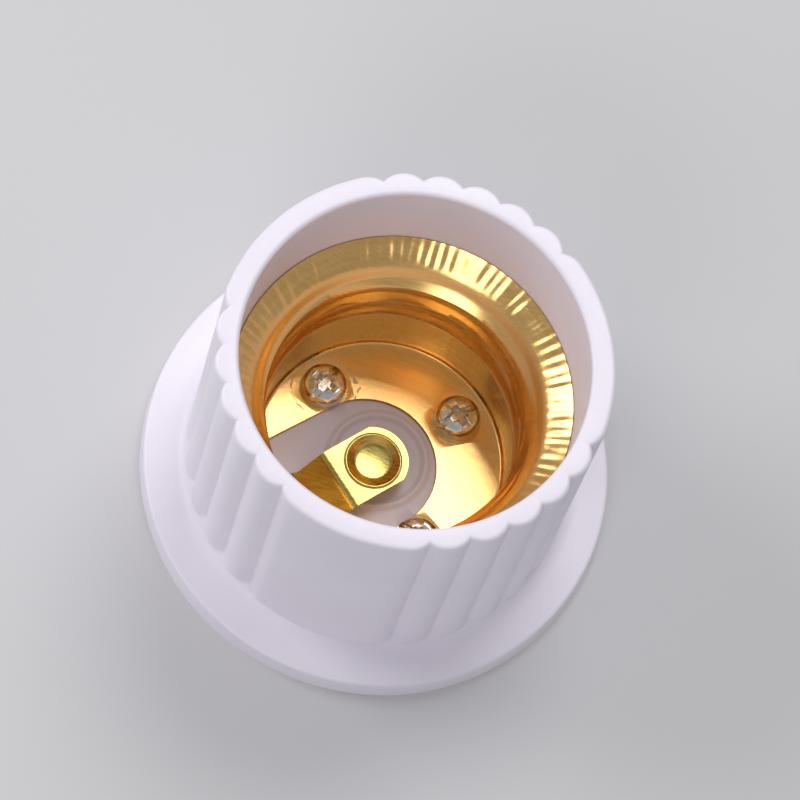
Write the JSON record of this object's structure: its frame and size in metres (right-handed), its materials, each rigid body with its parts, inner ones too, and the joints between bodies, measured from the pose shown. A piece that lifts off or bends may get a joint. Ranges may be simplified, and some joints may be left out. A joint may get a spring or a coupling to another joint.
{
  "type": "lamp socket",
  "caption": "Surface lamp holder: white fluted tube on a round flange, gold screw shell inside with a sprung centre contact, on a wall base plate.",
  "frame": {"origin": "on the lamp's axis, in the plane of the flange's foot, which is the wall plane", "axes": "+Z along the lamp's axis, out of the wall towards the lamp; the two mounting holes lie along Y; the contact's slot points 230 degrees round from +X"},
  "size_m": [0.048, 0.048, 0.0318],
  "materials": {
    "holder_white": "smooth white moulding with a soft gloss",
    "shell_gold": "gold-coloured drawn sheet, satin with a bright funnel",
    "contact_brass": "worn brass",
    "screw_nickel": "nickel-plated, slightly dull",
    "plate_grey": "matt grey moulding",
    "insert_brass": "plain turned brass",
    "rivet_brass": "plain brass",
    "strip_brass": "plain stamped brass",
    "terminal_steel": "zinc-plated"
  },
  "bodies": {
    "holder": {"holder_body": "holder_white", "screw_shell": "shell_gold", "base_plate": "plate_grey", "contact_rivet": "rivet_brass", "contact_strip": "strip_brass", "shell_strip": "strip_brass", "shell_screw_1": "screw_nickel", "shell_screw_2": "screw_nickel", "shell_screw_3": "screw_nickel", "base_insert_1": "insert_brass", "base_insert_2": "insert_brass", "base_insert_3": "insert_brass", "contact_terminal_nut": "terminal_steel", "shell_terminal_nut": "terminal_steel"},
    "contact": {"contact_spring": "contact_brass"},
    "contact_clamp": {"contact_terminal_clamp": "terminal_steel"},
    "contact_screw": {"contact_terminal_screw": "terminal_steel"},
    "shell_clamp": {"shell_terminal_clamp": "terminal_steel"},
    "shell_screw": {"shell_terminal_screw": "terminal_steel"}
  },
  "joints": [
    {"name": "contact_flex", "type": "hinge", "parent": "holder", "child": "contact", "pos_m": [-0.00528, -0.00755, 0.00265], "axis": [-0.7902, 0.6129, 0], "range_deg": [0, 6], "stiffness_Nm_per_rad": 0.33, "deforming": ["contact_spring"]},
    {"name": "contact_clamp_slide", "type": "slide", "parent": "holder", "child": "contact_clamp", "axis": [0, 0, -1], "range_m": [0, 0.00105]},
    {"name": "contact_screw_turn", "type": "hinge", "parent": "contact_clamp", "child": "contact_screw", "pos_m": [-0.00976, -0.01331, 0.0036], "axis": [0, 0, -1], "continuous": true},
    {"name": "shell_clamp_slide", "type": "slide", "parent": "holder", "child": "shell_clamp", "axis": [0, 0, -1], "range_m": [0, 0.00105]},
    {"name": "shell_screw_turn", "type": "hinge", "parent": "shell_clamp", "child": "shell_screw", "pos_m": [0.01061, 0.01264, 0.0036], "axis": [0, 0, -1], "continuous": true}
  ],
  "couplings": [
    {"joint": "contact_screw_turn", "follows": "contact_clamp_slide", "rad_per_m": 17952},
    {"joint": "shell_screw_turn", "follows": "shell_clamp_slide", "rad_per_m": 17952}
  ]
}
